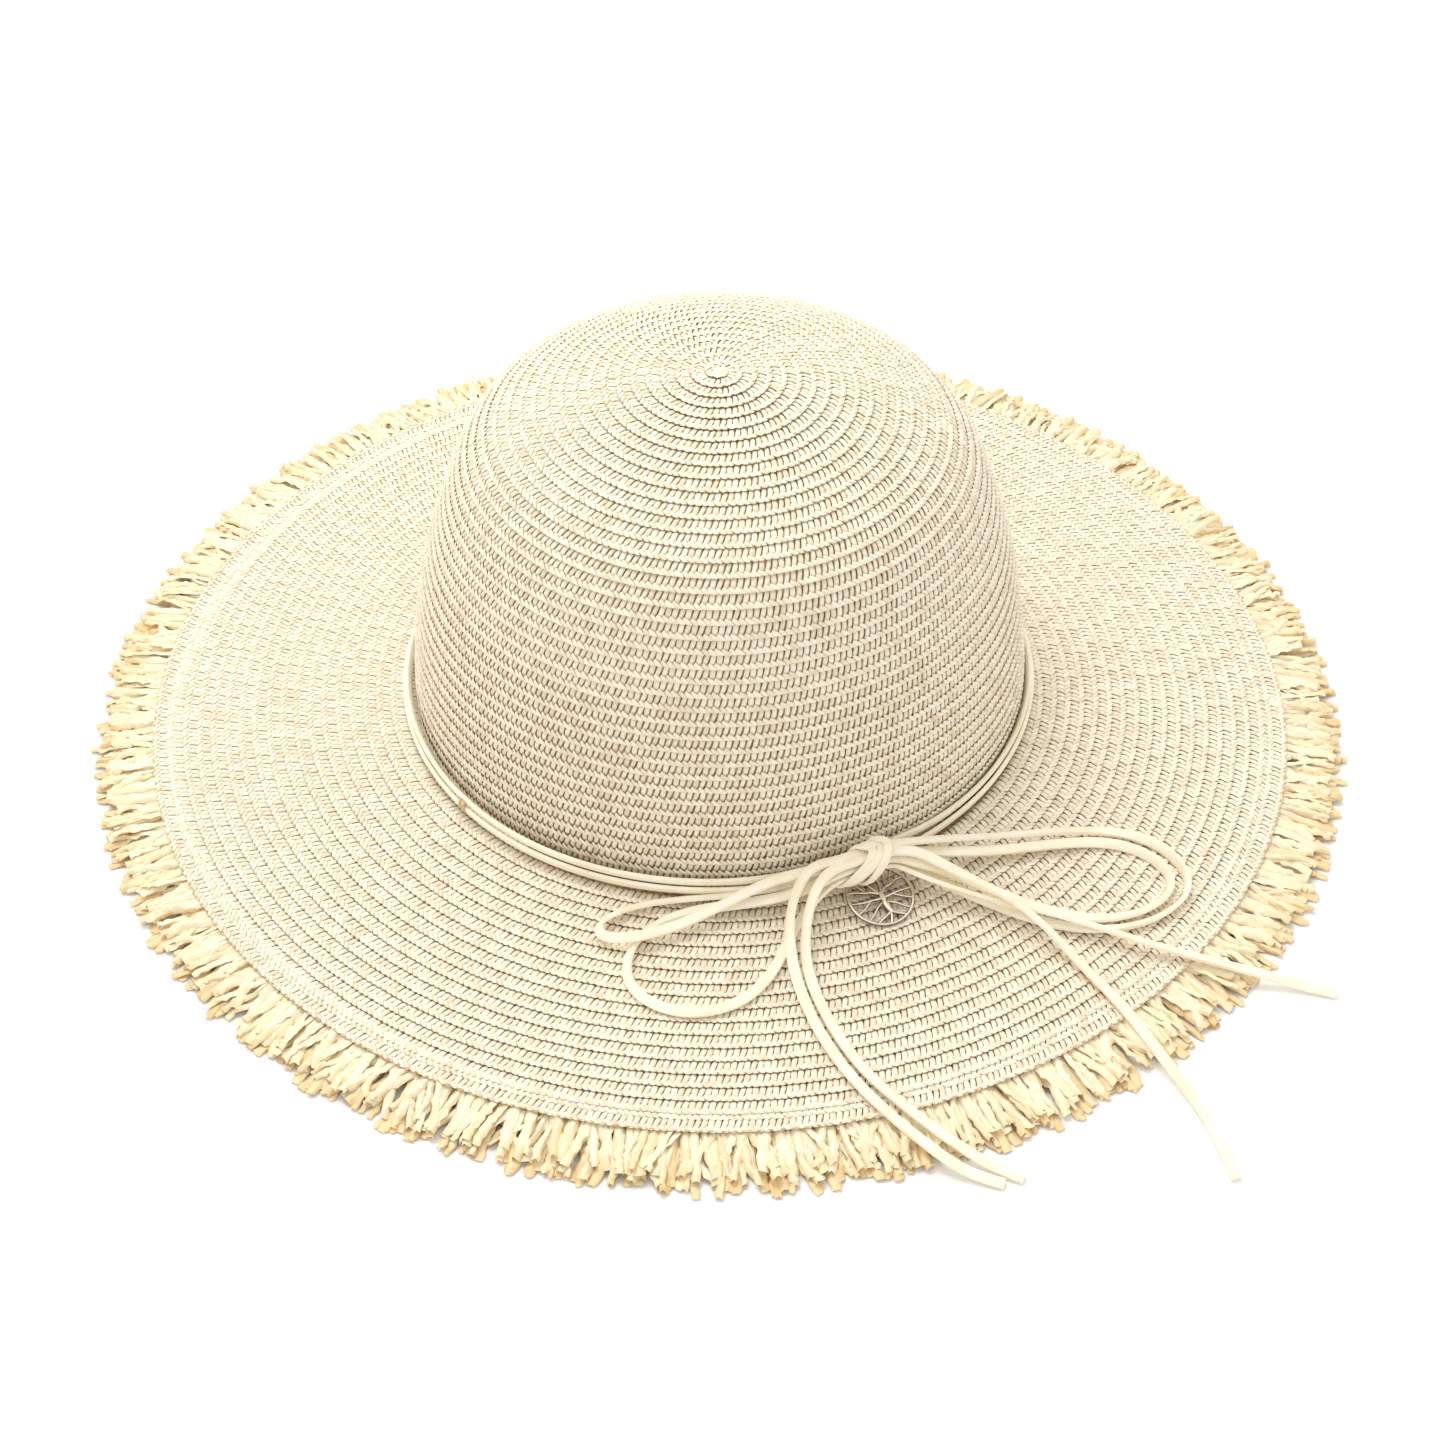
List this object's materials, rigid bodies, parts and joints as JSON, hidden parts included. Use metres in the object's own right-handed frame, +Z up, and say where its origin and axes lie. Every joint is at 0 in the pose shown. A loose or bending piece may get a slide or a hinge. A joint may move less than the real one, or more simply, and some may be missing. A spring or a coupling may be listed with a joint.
{
  "type": "straw sun hat",
  "caption": "Round sun hat of sewn straw braid with a domed crown, wide brim, raffia fringe, and two laces tied in a bow that hold a round tree charm.",
  "frame": {"origin": "on the crown's axis, at the level that the fringe rests on", "axes": "+Z up along the crown's axis; the bow is on the -Y side, towards +X"},
  "size_m": [0.3919, 0.392, 0.133],
  "materials": {
    "straw_braid": "matt sewn paper-straw braid",
    "raffia": "crumpled satin raffia",
    "lace": "soft suede",
    "thread": "matt thread",
    "tack_thread": "matt tan thread",
    "ribbon": "ribbed ribbon",
    "ring_metal": "polished",
    "charm_metal": "aged, polished on the edges"
  },
  "bodies": {
    "hat": {"crown_tip_braid": "straw_braid", "crown_shoulder_braid": "straw_braid", "crown_side_braid": "straw_braid", "brim_braid": "straw_braid", "brim_edge_braid": "straw_braid", "band_lace_lower": "lace", "band_lace_upper": "lace", "bow_knot_core": "lace", "bow_knot_wrap_left": "lace", "bow_knot_wrap_middle": "lace", "bow_knot_collar": "lace", "bow_loop_left_upper": "lace", "bow_loop_left_lower": "lace", "bow_tail_left_inner": "lace", "bow_tail_left_outer": "lace", "bow_loop_right_outer": "lace", "bow_loop_right_inner": "lace", "bow_tail_right_far": "lace", "bow_tail_right_near": "lace", "raffia_fringe": "raffia", "brim_edge_thread": "thread", "sweatband": "ribbon", "sweatband_thread": "thread", "band_tack": "tack_thread"},
    "jump_ring": {"jump_ring": "ring_metal"},
    "charm": {"tree_charm": "charm_metal"}
  },
  "joints": [
    {"name": "ring_swing", "type": "hinge", "parent": "hat", "child": "jump_ring", "pos_m": [0.04185, -0.08773, 0.0188], "axis": [-0.9026, -0.4305, 0], "range_deg": [0, 8]},
    {"name": "charm_sway", "type": "hinge", "parent": "jump_ring", "child": "charm", "pos_m": [0.04266, -0.08945, 0.0188], "axis": [0.1078, -0.226, 0.9681], "range_deg": [-12, 12]}
  ]
}
